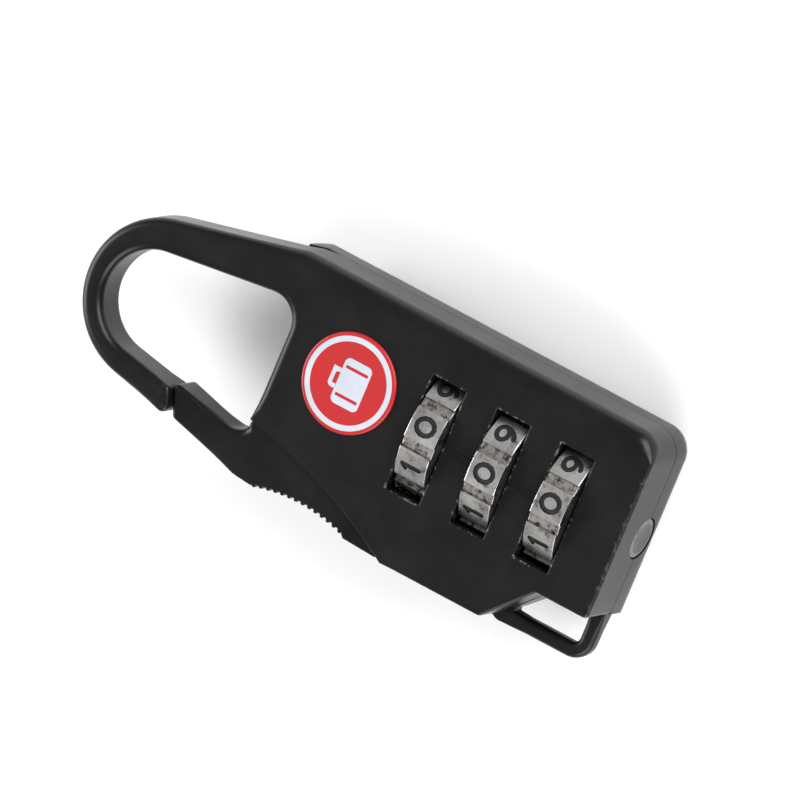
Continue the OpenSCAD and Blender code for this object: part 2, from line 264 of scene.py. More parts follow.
def offset_directions(points):
    """For each point of a closed outline, the way into the material, longer at sharp corners."""
    p = np.array(points)
    sides = np.roll(p, -1, axis=0) - p
    sides /= np.linalg.norm(sides, axis=1)[:, None]
    normals = np.stack([-sides[:, 1], sides[:, 0]], axis=1)
    mean = normals + np.roll(normals, 1, axis=0)
    mean /= np.maximum(np.linalg.norm(mean, axis=1), 1e-9)[:, None]
    cosine = np.maximum((mean * normals).sum(axis=1), 0.6)
    return mean / cosine[:, None]


def levels(base, edge, sign, rim, steps):
    """Offsets and heights of the rounded edge at one end of a block, from the wall to the cap."""
    if np.all(edge == 0):
        return [(edge, base)]
    rows = [(edge * 0, base - sign * (edge + rim))]
    for k in range(steps + 1):
        angle = math.pi / 2 * k / steps
        rows.append((edge * (1 - math.cos(angle)), base - sign * edge * (1 - math.sin(angle))))
    rows.append((edge + rim, base))
    return rows


def inside_loops(point, loops):
    """Whether a point lies in the material that the outlines bound."""
    crossings = 0
    for loop in loops:
        for a, b in zip(loop, loop[1:] + loop[:1]):
            if (a.y > point.y) != (b.y > point.y):
                crossings += point.x < a.x + (point.y - a.y) * (b.x - a.x) / (b.y - a.y)
    return crossings % 2 == 1


def triangles(loops):
    """Counter-clockwise triangles that fill the outlines, as numbers of their points."""
    points = [point for loop in loops for point in loop]
    edges, first = [], 0
    for loop in loops:
        edges += [(first + i, first + (i + 1) % len(loop)) for i in range(len(loop))]
        first += len(loop)
    verts, _, faces, sources, _, _ = delaunay_2d_cdt(points, edges, [], 1, 1e-6)
    result = []
    if any(len(source) != 1 for source in sources):
        raise RuntimeError("an outline crosses or doubles itself")
    for face in faces:
        middle = sum((verts[i] for i in face), Vector((0, 0))) / len(face)
        if inside_loops(middle, loops):
            a, b, c = (verts[i] for i in face)
            numbers = [sources[i][0] for i in face]
            result.append(numbers if (b - a).cross(c - a) > 0 else numbers[::-1])
    return result


def block(loops, bottom, top, bottom_edge=0.0, top_edge=0.0, rim=0.12, steps=5, axis="Z"):
    """Closed block between two heights with rounded edges, as a bmesh in millimetres.

    The first outline runs counter-clockwise and holes run clockwise. Heights and roundings are
    numbers or functions of a point. The outlines lie across the axis."""
    place = {"Z": lambda u, v, w: (u, v, w),
             "X": lambda u, v, w: (w, u, v),
             "Y": lambda u, v, w: (v, w, u)}[axis]
    bm = bmesh.new()
    caps = {-1: [], 1: []}
    for points in loops:
        ways = offset_directions(points)
        lower = levels(at(bottom, points), at(bottom_edge, points), -1, rim, steps)
        upper = levels(at(top, points), at(top_edge, points), 1, rim, steps)
        rings = []
        for offsets, heights in list(reversed(lower)) + upper:
            flat = np.array(points) + ways * offsets[:, None]
            rings.append([bm.verts.new(place(u, v, w)) for (u, v), w in zip(flat, heights)])
            last = [Vector(uv) for uv in flat]
            if len(rings) == 1:
                caps[-1].append((rings[0], last))
        caps[1].append((rings[-1], last))
        count = len(points)
        for low, high in zip(rings, rings[1:]):
            for i in range(count):
                j = (i + 1) % count
                bm.faces.new((low[i], low[j], high[j], high[i]))
    for sign, parts in caps.items():
        verts = [v for ring, _ in parts for v in ring]
        for face in triangles([loop for _, loop in parts]):
            bm.faces.new([verts[i] for i in (face if sign > 0 else reversed(face))])
    bmesh.ops.remove_doubles(bm, verts=bm.verts, dist=2e-3)
    return bm


def turned(profile):
    """Solid of revolution about the dial axis, from (along, radius) pairs, as a bmesh."""
    bm = bmesh.new()
    sides = 96
    rings = []
    for x, radius in profile:
        if radius < 1e-6:
            rings.append([bm.verts.new((x, 0, AXIS_Z))])
            continue
        rings.append([bm.verts.new((x, -radius * math.sin(2 * math.pi * k / sides),
                                    AXIS_Z + radius * math.cos(2 * math.pi * k / sides)))
                      for k in range(sides)])
    for a, b in zip(rings, rings[1:]):
        for k in range(sides):
            j = (k + 1) % sides
            corners = [a[k % len(a)], a[j % len(a)], b[j % len(b)], b[k % len(b)]]
            bm.faces.new(list(dict.fromkeys(corners)))
    bmesh.ops.recalc_face_normals(bm, faces=bm.faces)
    return bm


def piece_from(bm, name, *materials):
    """New object in the frame's place from a bmesh in working millimetres."""
    bmesh.ops.translate(bm, vec=Vector(ORIGIN), verts=bm.verts)
    bmesh.ops.scale(bm, vec=(MM, MM, MM), verts=bm.verts)
    mesh = bpy.data.meshes.new(name)
    bm.to_mesh(mesh)
    bm.free()
    for material in materials:
        mesh.materials.append(material)
    piece = bpy.data.objects.new(name, mesh)
    bpy.context.scene.collection.objects.link(piece)
    return piece


def combine(piece, other, operation="DIFFERENCE", solver="EXACT"):
    """Cuts one piece with another, or joins them, and takes the other away."""
    before = len(piece.data.polygons) if operation == "DIFFERENCE" else 4
    modifier = piece.modifiers.new("combine", "BOOLEAN")
    modifier.object = other
    modifier.operation = operation
    modifier.solver = solver
    modifier.material_mode = "TRANSFER"
    depsgraph = bpy.context.evaluated_depsgraph_get()
    mesh = bpy.data.meshes.new_from_object(piece.evaluated_get(depsgraph))
    old = piece.data
    piece.modifiers.clear()
    piece.data = mesh
    mesh.name = piece.name
    bpy.data.meshes.remove(old)
    bpy.data.objects.remove(other)
    if len(piece.data.polygons) < before / 2:
        raise RuntimeError("too little was left of " + piece.name)


def cutter(bm):
    """Object of a bmesh for combine()."""
    return piece_from(bm, "cutter")


def finished(piece, angle=32.0, wear=None, weld=2e-6):
    """Tidied mesh with smooth shading apart from sharp edges, and the mask of worn places, which on the
    front shell also marks painted highlights.
    """
    mesh = piece.data
    if weld:
        bm = bmesh.new()
        bm.from_mesh(mesh)
        bmesh.ops.remove_doubles(bm, verts=bm.verts, dist=weld)
        bm.to_mesh(mesh)
        bm.free()
    mesh.shade_smooth()
    mesh.set_sharp_from_angle(angle=math.radians(angle))
    if wear:
        places = np.empty(len(mesh.vertices) * 3)
        mesh.vertices.foreach_get("co", places)
        places = places.reshape(-1, 3) / MM - ORIGIN
        mask = mesh.attributes.new("wear", "FLOAT", "POINT")
        mask.data.foreach_set("value", wear(places).astype(np.float32))
    return piece


def fade(value, low, high):
    """0 below low, 1 above high and a straight rise between them."""
    return min(max((value - low) / (high - low), 0.0), 1.0)


# ---------- shader node groups ----------

def new_group(name, inputs, outputs):
    """Empty shader node group with float inputs and outputs; returns it with its two end nodes."""
    group = bpy.data.node_groups.new(name, "ShaderNodeTree")
    for label, default in inputs:
        socket = group.interface.new_socket(label, in_out="INPUT", socket_type="NodeSocketFloat")
        socket.default_value = default
    for label in outputs:
        group.interface.new_socket(label, in_out="OUTPUT", socket_type="NodeSocketFloat")
    return group, group.nodes.new("NodeGroupInput"), group.nodes.new("NodeGroupOutput")


def noise(tree, scale, detail=3.0, roughness=0.5, stretch=None):
    """Noise texture in object space; scale is a number or a socket."""
    coordinates = tree.nodes.new("ShaderNodeTexCoord")
    texture = tree.nodes.new("ShaderNodeTexNoise")
    texture.inputs["Detail"].default_value = detail
    texture.inputs["Roughness"].default_value = roughness
    source = coordinates.outputs["Object"]
    if stretch:
        mapping = tree.nodes.new("ShaderNodeMapping")
        mapping.inputs["Scale"].default_value = stretch
        tree.links.new(source, mapping.inputs["Vector"])
        source = mapping.outputs["Vector"]
    tree.links.new(source, texture.inputs["Vector"])
    if isinstance(scale, (int, float)):
        texture.inputs["Scale"].default_value = scale
    else:
        tree.links.new(scale, texture.inputs["Scale"])
    return texture.outputs["Fac"]


def math_node(tree, operation, a, b, clamp=False):
    """Math node between two sockets or numbers."""
    node = tree.nodes.new("ShaderNodeMath")
    node.operation = operation
    node.use_clamp = clamp
    for socket, value in zip(node.inputs, (a, b)):
        if isinstance(value, (int, float)):
            socket.default_value = value
        else:
            tree.links.new(value, socket)
    return node.outputs[0]


def remap(tree, value, low, high, to_low=0.0, to_high=1.0):
    """Clamped change of range."""
    node = tree.nodes.new("ShaderNodeMapRange")
    tree.links.new(value, node.inputs["Value"])
    for label, number in (("From Min", low), ("From Max", high), ("To Min", to_low), ("To Max", to_high)):
        node.inputs[label].default_value = number
    return node.outputs["Result"]


def grain_group():
    """Fine unevenness of a sprayed or cast surface, and its slow variation."""
    group, start, end = new_group("surface_grain", [("Scale", 3000.0), ("Coarse Scale", 180.0)],
                                  ["Height", "Variation"])
    fine = noise(group, start.outputs["Scale"], 2.0)
    coarse = noise(group, start.outputs["Coarse Scale"], 4.0, 0.6)
    height = math_node(group, "ADD", fine, math_node(group, "MULTIPLY", coarse, 0.6))
    group.links.new(height, end.inputs["Height"])
    group.links.new(remap(group, coarse, 0.3, 0.7), end.inputs["Variation"])
    return group


def wear_and_highlight_group():
    """Chips along worn edges, broken up by noise from the mesh's mask; where that mask marks the front
    shell's nose and end ridge, the chips are painted highlight.
    """
    group, start, end = new_group("edge_wear", [("Mask", 0.0), ("Scale", 1600.0), ("Coverage", 0.5)],
                                  ["Wear"])
    spots = noise(group, start.outputs["Scale"], 4.0, 0.65)
    raised = math_node(group, "ADD", spots, math_node(group, "SUBTRACT", start.outputs["Coverage"], 1.0))
    cut = remap(group, raised, -0.02, 0.05)
    group.links.new(math_node(group, "MULTIPLY", cut, start.outputs["Mask"], True), end.inputs["Wear"])
    return group


def scratches_group():
    """Fine handling marks that run along the lock."""
    group, start, end = new_group("handling_marks", [("Scale", 260.0), ("Amount", 0.5)], ["Marks"])
    lines = noise(group, start.outputs["Scale"], 2.0, 0.5, (1.0, 22.0, 22.0))
    patches = noise(group, 140.0, 2.0)
    thin = remap(group, lines, 0.62, 0.7)
    some = remap(group, patches, 0.45, 0.65)
    both = math_node(group, "MULTIPLY", thin, some)
    group.links.new(math_node(group, "MULTIPLY", both, start.outputs["Amount"], True), end.inputs["Marks"])
    return group


def place_group(tree, group, **values):
    """Node of a shared group with its own values or links."""
    node = tree.nodes.new("ShaderNodeGroup")
    node.node_tree = bpy.data.node_groups[group]
    for label, value in values.items():
        socket = node.inputs[label.replace("_", " ")]
        if isinstance(value, (int, float)):
            socket.default_value = value
        else:
            tree.links.new(value, socket)
    return node


# ---------- materials ----------

def new_material(name):
    """Material with an empty node tree apart from its shader; returns it, its tree and its shader."""
    material = bpy.data.materials.new(name)
    material.use_nodes = True
    tree = material.node_tree
    shader = tree.nodes["Principled BSDF"]
    return material, tree, shader


def blend_colours(tree, factor, first, second):
    """Colour between two colours; each is a tuple or a socket."""
    node = tree.nodes.new("ShaderNodeMix")
    node.data_type = "RGBA"
    tree.links.new(factor, node.inputs["Factor"])
    for socket, value in ((node.inputs[6], first), (node.inputs[7], second)):
        if isinstance(value, tuple):
            socket.default_value = (*value, 1.0)
        else:
            tree.links.new(value, socket)
    return node.outputs[2]


def add_bump(tree, shader, height, distance, strength=1.0):
    """Feeds a height into the shader's normal."""
    bump = tree.nodes.new("ShaderNodeBump")
    bump.inputs["Distance"].default_value = distance
    bump.inputs["Strength"].default_value = strength
    tree.links.new(height, bump.inputs["Height"])
    tree.links.new(bump.outputs["Normal"], shader.inputs["Normal"])


def mesh_mask(tree, name):
    """The named mask stored in the mesh."""
    node = tree.nodes.new("ShaderNodeAttribute")
    node.attribute_name = name
    return node.outputs["Fac"]


def paint(name, colour, roughness=(0.30, 0.42), bright=(0.30, 0.29, 0.28), chips=0.44):
    """Satin paint on die-cast metal, chipped where the mesh's mask says so; on the front shell's nose and
    end ridge those chips are painted highlight.
    """
    material, tree, shader = new_material(name)
    shader.inputs["IOR"].default_value = 1.36
    grain = place_group(tree, "surface_grain", Scale=2600.0, Coarse_Scale=150.0)
    wear = place_group(tree, "edge_wear", Mask=mesh_mask(tree, "wear"), Scale=1500.0, Coverage=chips)
    marks = place_group(tree, "handling_marks", Scale=240.0, Amount=0.35)
    lighter = tuple(min(1.0, c * 1.5 + 0.0005) for c in colour)
    base = blend_colours(tree, grain.outputs["Variation"], colour, lighter)
    # the chips' bright colour is worn metal, and painted highlight where the mask marks the front shell's
    # nose and end ridge
    tree.links.new(blend_colours(tree, wear.outputs["Wear"], base, bright), shader.inputs["Base Color"])
    tree.links.new(math_node(tree, "MULTIPLY", wear.outputs["Wear"], 0.9), shader.inputs["Metallic"])
    slow = remap(tree, grain.outputs["Variation"], 0.0, 1.0, *roughness)
    tree.links.new(math_node(tree, "ADD", slow, math_node(tree, "MULTIPLY", marks.outputs["Marks"], 0.12)),
                   shader.inputs["Roughness"])
    worn_height = math_node(tree, "SUBTRACT", grain.outputs["Height"],
                            math_node(tree, "MULTIPLY", wear.outputs["Wear"], 2.0))
    add_bump(tree, shader, worn_height, 0.000012, 0.5)
    return material


def metal(name, bright, dark, roughness, scale, depth, stretch=None, spots=0.5):
    """Bare or plated metal with tarnish between two colours."""
    material, tree, shader = new_material(name)
    grain = place_group(tree, "surface_grain", Scale=scale, Coarse_Scale=scale * 0.22)
    marks = place_group(tree, "handling_marks", Scale=420.0, Amount=0.8)
    patches = remap(tree, noise(tree, scale * 0.5, 4.0, 0.65, stretch), spots, spots + 0.18)
    tree.links.new(blend_colours(tree, patches, bright, dark), shader.inputs["Base Color"])
    shader.inputs["Metallic"].default_value = 1.0
    slow = remap(tree, grain.outputs["Variation"], 0.0, 1.0, roughness[0], roughness[1])
    rough = math_node(tree, "ADD", slow, math_node(tree, "MULTIPLY", patches, 0.12))
    tree.links.new(math_node(tree, "ADD", rough, math_node(tree, "MULTIPLY", marks.outputs["Marks"], 0.1)),
                   shader.inputs["Roughness"])
    add_bump(tree, shader, grain.outputs["Height"], depth, 0.6)
    return material


def print_finish(name, colour, roughness, coat=0.0):
    """Glossy printed or filled colour with a slight unevenness."""
    material, tree, shader = new_material(name)
    grain = place_group(tree, "surface_grain", Scale=1800.0, Coarse_Scale=300.0)
    darker = tuple(c * 0.86 for c in colour)
    mixed = blend_colours(tree, grain.outputs["Variation"], colour, darker)
    tree.links.new(mixed, shader.inputs["Base Color"])
    tree.links.new(remap(tree, grain.outputs["Variation"], 0, 1, roughness, roughness + 0.08),
                   shader.inputs["Roughness"])
    shader.inputs["Coat Weight"].default_value = coat
    add_bump(tree, shader, grain.outputs["Height"], 0.000004, 0.4)
    return material


def finishes():
    """The material of each finish, made on first use."""
    if "black_paint" in bpy.data.materials:
        return bpy.data.materials
    grain_group()
    wear_and_highlight_group()
    scratches_group()
    colours = bpy.context.scene.padlock_colours
    paint("black_paint", tuple(colours.paint), (0.27, 0.35))
    paint("gate_black", tuple(colours.paint), (0.25, 0.33))
    paint("button_black", (0.05, 0.05, 0.052), (0.36, 0.46), (0.22, 0.22, 0.22), 0.62)
    metal("dial_plating", tuple(colours.plating), (0.12, 0.115, 0.11), (0.22, 0.38), 1500.0, 0.00003,
          spots=0.5)
    metal("dial_band", (0.42, 0.40, 0.38), (0.035, 0.033, 0.03), (0.34, 0.5), 3200.0, 0.00006, spots=0.46)
    # painted shade: the dials' side faces, deep in the windows, get a much darker metal than the plating
    metal("dial_side", (0.16, 0.155, 0.15), (0.03, 0.03, 0.03), (0.4, 0.55), 1300.0, 0.00002, spots=0.42)
    metal("dull_brass", (0.72, 0.50, 0.20), (0.40, 0.24, 0.08), (0.28, 0.4), 900.0, 0.00001, spots=0.6)
    metal("dull_steel", (0.50, 0.50, 0.51), (0.28, 0.28, 0.29), (0.3, 0.42), 1200.0, 0.00001, (1, 6, 6))
    metal("spring_wire", (0.56, 0.56, 0.58), (0.3, 0.3, 0.31), (0.22, 0.34), 1600.0, 0.000008)
    metal("black_screw", (0.09, 0.09, 0.095), (0.035, 0.035, 0.035), (0.32, 0.46), 1500.0, 0.000012)
    print_finish("digit_fill", (0.012, 0.011, 0.011), 0.42)
    print_finish("badge_red", tuple(colours.badge), 0.36, 0.15)
    print_finish("badge_pale", (0.50, 0.54, 0.61), 0.4, 0.1)
    return bpy.data.materials


# ---------- shells ----------

def cylinder(middle, radius, low, high):
    """Upright round block."""
    return block([arc(middle, radius, 0, 352.5, 47)], low, high)


def section_blocks(inset):
    """Blocks whose shared space rounds the back: across, lengthwise, and around the spine corner."""
    back, far, high = BACK_ROUND - inset, 60.0, 20.0
    low, spine, edge, end = BACK_Z + inset, SPINE_Y - inset, EDGE_Y + inset, END_X - inset
    across = (arc((spine - back, low + back), back, -90, 0, 24)
              + [(far, low + back), (far, high), (-far, high), (-far, low + back)]
              + arc((edge + back, low + back), back, 180, 270, 24))
    ramp = (FACE_Z - BACK_Z) / 2 - inset
    ramp_x = NECK_X + 2.25 + inset
    # each block starts a little lower than the one before, so that no two backs share a plane
    low -= SECTION_STEP
    along = (arc((end - back, low + back), back, -90, 0, 24)
             + [(far, low + back), (far, high), (-far, high)]
             + [(-far, AXIS_Z + 0.2), (ramp_x - ramp, AXIS_Z + 0.2)]
             + arc((ramp_x, AXIS_Z), ramp, 180, 270, 32))
    # block() turns (u, v) across Y into (Z, X), so the lengthwise outlines are given as (z, x)
    yield block([across], -far, far, axis="X")
    yield block([hole([(z, x) for x, z in along])], -far, far, axis="Y")
    middle = Vector((END_X - CORNER, SPINE_Y - CORNER, 0))
    for degrees in (15, 30, 45, 60, 75):
        low -= SECTION_STEP
        reach = CORNER - inset
        round_end = (arc((reach - back, low + back), back, -90, 0, 24)
                     + [(far, low + back), (far, high), (-far, high), (-far, low)])
        bm = block([hole([(z, x) for x, z in round_end])], -far, far, axis="Y")
        bm.transform(Matrix.Translation(middle) @ Matrix.Rotation(math.radians(degrees), 4, "Z"))
        yield bm


def screw_bosses():
    """Outlines of the posts around the screws, as holes in a cavity."""
    return [hole(arc(middle, SCREW_BOSS, 0, 345, 23)) for middle in SCREWS]


def button_bore():
    """Cutter for the reset button's bore through the bottom end wall."""
    low, high = END_X - 3, END_X + 1
    return cutter(turned([(low, 0), (low, BUTTON_BORE), (high, BUTTON_BORE), (high, 0)]))


def window_cutters():
    """Blocks through the dials' windows."""
    for x in DIAL_X:
        half_w, half_l = WINDOW_WIDTH / 2, WINDOW_LENGTH / 2
        yield block([rectangle(x - half_w, -half_l, x + half_w, half_l)], -1, 20)


def window_distance(places):
    """Distance of each place from the nearest window's rim, seen from the front."""
    nearest = np.full(len(places), 9.0)
    for x in DIAL_X:
        across = np.abs(places[:, 0] - x) - WINDOW_WIDTH / 2 + WINDOW_CORNER
        along = np.abs(places[:, 1]) - WINDOW_LENGTH / 2 + WINDOW_CORNER
        outside = np.hypot(np.maximum(across, 0), np.maximum(along, 0))
        inside = np.minimum(np.maximum(across, along), 0)
        nearest = np.minimum(nearest, np.abs(outside + inside - WINDOW_CORNER))
    return nearest


def front_wear_and_highlights(places):
    """Worn places of the front shell: chips at the windows' rims, and painted highlight mixed with chips
    along the nose and the ridge at the bottom end.
    """
    x, y, z = places.T
    rims = (window_distance(places) < 0.14) & (z > FACE_Z - 0.2)
    # painted highlight: bright chips along the bottom end's front edge stand in for its thin specular line
    ridge = (x > END_X - 0.5) & (y < SPINE_Y - 3.4) & (y > -8.8) & (z > FACE_Z - 0.5)
    # painted highlight: a few bright chips on the nose's rounded end stand in for its glint
    nose = (x < -34.8) & (x > -37.2) & (y < -8.0) & (z > FACE_Z - 1.1)
    return np.maximum(np.maximum(rims * 0.45, ridge * 0.12), nose * 0.06)


class PADLOCK_OT_front_shell(bpy.types.Operator):
    """Build the front shell with the hook, the dials' windows and the index grooves"""
    bl_idname = "padlock.front_shell"
    bl_label = "Front shell"

    def execute(self, context):
        sizes = context.scene.padlock_sizes
        spine_edge, end_edge = sizes.spine_edge / MM, sizes.end_edge / MM
        hook_edge, seam_edge = sizes.hook_edge / MM, sizes.seam_edge / MM
        window_edge = sizes.window_edge / MM

        def on_seam(x, y):
            return abs(x + 17.2) < 9.8 and abs(y - seam_y(x)) < 0.05

        def nose_edge(x):
            return hook_edge * (1 - 0.55 * fade(x, -38.8, -37.2))

        def top_edge(x, y):
            if on_seam(x, y):
                return seam_edge
            if abs(y) < WINDOW_LENGTH / 2 + 0.1 and abs(x) < DIAL_X[2] + 3:
                return window_edge
            if -39 < x < -34 and y < -7.3:
                return nose_edge(x)
            if x < NECK_X + 0.01 and y < 8:
                return seam_edge + (hook_edge - seam_edge) * fade(y, -6.9, -5.0) if x > -30 else hook_edge
            if y > 8 and x < END_X - 3:
                return hook_edge + (spine_edge - hook_edge) * fade(x, -34, -27)
            if y > SPINE_Y - 3.2:
                turn = math.degrees(math.atan2(y - SPINE_Y + CORNER, x - END_X + CORNER))
                return end_edge + (spine_edge - end_edge) * fade(turn, 8, 40)
            return end_edge * (0.8 if y < -8.8 else 1.0)

        def bottom_edge(x, y):
            if -39 < x < -34 and y < -7.3:
                return nose_edge(x)
            return 0.0 if on_seam(x, y) else 0.9 * hook_edge * fade(-x, 27.5, 30)

        def bottom(x, y):
            return AXIS_Z + (HOOK_BOTTOM - AXIS_Z) * fade(-x, 27.0, 28.0)

        half_w, half_l = WINDOW_WIDTH / 2, WINDOW_LENGTH / 2
        windows = [hole(dense(rectangle(x - half_w, -half_l, x + half_w, half_l, WINDOW_CORNER), 1.6))
                   for x in DIAL_X]
        materials = finishes()
        bm = block([front_outline()] + windows, bottom, FACE_Z, bottom_edge, top_edge, steps=6)
        shell = piece_from(bm, "front_shell_cover", materials["black_paint"])
        inside = [cavity_outline(-8.0)] + screw_bosses()
        combine(shell, cutter(block(inside, AXIS_Z - 1, FACE_Z - PLATE)))
        travel = [(-28, -15), (-7.9, -15), (-8, -9.4), (-25, -0.9), (-28, -0.4)]
        combine(shell, cutter(block([travel], AXIS_Z - 1, GATE_FACE + 0.05)))
        combine(shell, button_bore())
        for left, right in zip(DIAL_X, DIAL_X[1:]):
            groove = arc((0, FACE_Z + 0.4), 0.6, 0, 350, 35)
            combine(shell, cutter(block([groove], left + half_w - 0.02, right - half_w + 0.02, 0.002, 0.002,
                                        0.3, 1, "X")))
        finished(shell, 34, front_wear_and_highlights)
        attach(shell, "body")
        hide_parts("front_shell")
        return {"FINISHED"}


class PADLOCK_OT_back_shell(bpy.types.Operator):
    """Build the back shell with its rounded back, the ramp behind the hook and the lanyard loop"""
    bl_idname = "padlock.back_shell"
    bl_label = "Back shell"

    def execute(self, context):
        sizes = context.scene.padlock_sizes
        materials = finishes()
        bm = block([back_outline()], 0.0, AXIS_Z, 0.0, sizes.seam_edge / MM, rim=0.05, steps=2)
        shell = piece_from(bm, "back_shell_cover", materials["black_paint"])
        for section in section_blocks(0.0):
            combine(shell, cutter(section), "INTERSECT")
        inside = [cavity_outline(-8.7)] + screw_bosses()
        hollow = cutter(block(inside, BACK_Z + PLATE, AXIS_Z + 1))
        for section in section_blocks(WALL):
            combine(hollow, cutter(section), "INTERSECT")
        combine(shell, hollow)
        right, bar, radius = END_X - 0.5, 1.7, 2.4
        root = softened([(10, LOOP_Y), (4.6, LOOP_Y), (2.0, -13.7), (2, -13.1)], [0, 1.2, 0, 0])[1:]
        outline = dense(hole([(right, -8.2)] + arc((right - radius, LOOP_Y + radius), radius, 0, -90, 12)
                             + root + [(4.5, -13.1), (9.2, -8.2)]), 2.0)
        inner_loop = softened([(right - bar, -8.9), (right - bar, LOOP_Y + bar), (6.1, LOOP_Y + bar),
                               (6.1, -12.9), (9.7, -8.9)], [0.3, 0.7, 0.2, 0.2, 0.4])
        top = AXIS_Z - 0.1

        def edge(x, y):
            if x < 10 and y > -13.2:
                return 0.08
            return 0.08 + (sizes.loop_edge / MM - 0.08) * min(fade(-y, 9.0, 10.5), fade(x, 5.5, 8.0))

        loop = piece_from(block([outline, dense(inner_loop, 2.0)], top - 1.9, top, edge, edge, rim=0.05),
                          "loop", materials["black_paint"])
        combine(shell, loop, "UNION")
        for window in window_cutters():
            combine(shell, cutter(window))
        combine(shell, button_bore())
        for middle in SCREWS:
            combine(shell, cutter(cylinder(middle, SCREW_HEAD, 0, BACK_Z + 0.9)))
            combine(shell, cutter(cylinder(middle, SCREW_HOLE, 1, AXIS_Z + 1)))
        finished(shell, 30, lambda p: (window_distance(p) < 0.05) & (p[:, 2] < BACK_Z + 0.05))
        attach(shell, "body")
        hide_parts("back_shell")
        return {"FINISHED"}


# ---------- gate ----------

class PADLOCK_OT_gate(bpy.types.Operator):
    """Build the gate with its ribbed thumb rest, its knuckle and the nose that pushes the locking bar"""
    bl_idname = "padlock.gate"
    bl_label = "Gate"

    def execute(self, context):
        sizes = context.scene.padlock_sizes
        gate_edge = sizes.gate_edge / MM

        def edge(x, y):
            inner = fade(y, -9.2, -8.6) * (x < NECK_X - 0.3)
            full = 0.14 + (gate_edge - 0.14) * max(inner, 0.55 * fade(-x, 26, 29))
            return 0.36 + (full - 0.36) * fade(x, -35.4, -31.5) if x < -31.5 else full

        materials = finishes()
        bm = block([dense(gate_outline(sizes.ribs), 1.5)], HOOK_BOTTOM, GATE_FACE, edge, edge, 0.04, 5)
        gate = piece_from(bm, "gate_lever", materials["gate_black"])
        roof = FACE_Z - PLATE - 0.1
        knuckle = [arc(PIVOT, 1.4, 0, 352, 44)]
        combine(gate, cutter(block(knuckle, HOOK_BOTTOM, roof)), "UNION")
        arm = [(-10.2, -12.7), (-8.3, -12.9), (PIVOT[0], -12.6), (PIVOT[0], -10.4), (-9.6, -11)]
        neck = [(-11.08, -12.6), (-9.6, -12.55), (-9.9, -11.25), (-11.08, -11.25)]
        for lift, web in ((0.01, arm), (0.02, neck)):
            combine(gate, cutter(block([web], HOOK_BOTTOM + lift, roof - lift)), "UNION")
        nose = cylinder((PIVOT[0] - 4.5, -11.2), 0.6, HOOK_BOTTOM + 0.03, roof - 0.03)
        combine(gate, cutter(nose), "UNION")
        combine(gate, cutter(cylinder(PIVOT, PIN_HOLE, 0, 20)))
        finished(gate, 40)
        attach(gate, "gate")
        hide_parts("gate")
        return {"FINISHED"}


# ---------- dials ----------

def digit_strokes(digit):
    """Middle lines of a digit's strokes, as (points, closed); a digit is about 1.8 wide and 2.1 high."""
    tall, wide = 1.03, 0.9
    round_low = ([(0.78 * math.cos(t), -0.38 + 0.65 * math.sin(t))
                  for t in np.linspace(0, 2 * math.pi, 25)[:-1]], True)

    def bow(cx, cy, rx, ry, start, stop):
        return [(cx + rx * math.cos(math.radians(a)), cy + ry * math.sin(math.radians(a)))
                for a in np.linspace(start, stop, 14)]

    six = [round_low, (bow(0.32, -0.38, 1.1, 1.38, 180, 98), False)]
    strokes = {
        0: [(bow(0, 0, wide, tall, 0, 360)[:-1], True)],
        1: [([(-0.42, 0.62), (-0.02, tall), (-0.02, -tall)], False)],
        2: [(bow(0, 0.42, 0.74, 0.6, 165, -25) + [(-0.78, -tall), (0.8, -tall)], False)],
        3: [(bow(-0.05, 0.5, 0.7, 0.53, 150, -80), False), (bow(-0.05, -0.5, 0.8, 0.53, 80, -150), False)],
        4: [([(0.3, -tall), (0.3, tall)], False), ([(0.3, tall), (-0.85, -0.45), (0.85, -0.45)], False)],
        5: [([(0.7, tall), (-0.55, tall)] + bow(-0.02, -0.36, 0.78, 0.67, 140, -145), False)],
        6: six,
        7: [([(-0.8, tall), (0.8, tall), (-0.2, -tall)], False)],
        8: [(bow(0, 0.52, 0.6, 0.5, 0, 360)[:-1], True), (bow(0, -0.5, 0.78, 0.53, 0, 360)[:-1], True)],
        9: [([(-u, -v) for u, v in points], closed) for points, closed in six],
    }
    return strokes[digit]


def stroke_patches(points, closed, width):
    """Small polygons that together cover a stroke: one along each step, and discs at ends and corners."""
    half = width / 2
    steps = [(Vector(a), Vector(b)) for a, b in zip(points, points[1:])]
    if closed:
        steps.append((Vector(points[-1]), Vector(points[0])))
    for number, (a, b) in enumerate(steps):
        way = (b - a).normalized()
        sides = []
        for spot, near, joined in ((a, number - 1, closed or number > 0),
                                   (b, (number + 1) % len(steps), closed or number < len(steps) - 1)):
            other = (steps[near][1] - steps[near][0]).normalized()
            smooth = joined and way.dot(other) > 0.85
            spread = (way + other).normalized() if smooth else way
            sides.append(Vector((-spread.y, spread.x)) * half / spread.dot(way))
            if not smooth:
                yield [spot + Vector(uv) for uv in arc((0, 0), half, 0, 337.5, 15)]
        parts = max(1, math.ceil((b - a).length / 0.3))
        for k in range(parts):
            start, stop = k / parts, (k + 1) / parts
            low, high = a.lerp(b, start), a.lerp(b, stop)
            low_side, high_side = sides[0].lerp(sides[1], start), sides[0].lerp(sides[1], stop)
            yield [low - low_side, high - high_side, high + high_side, low + low_side]


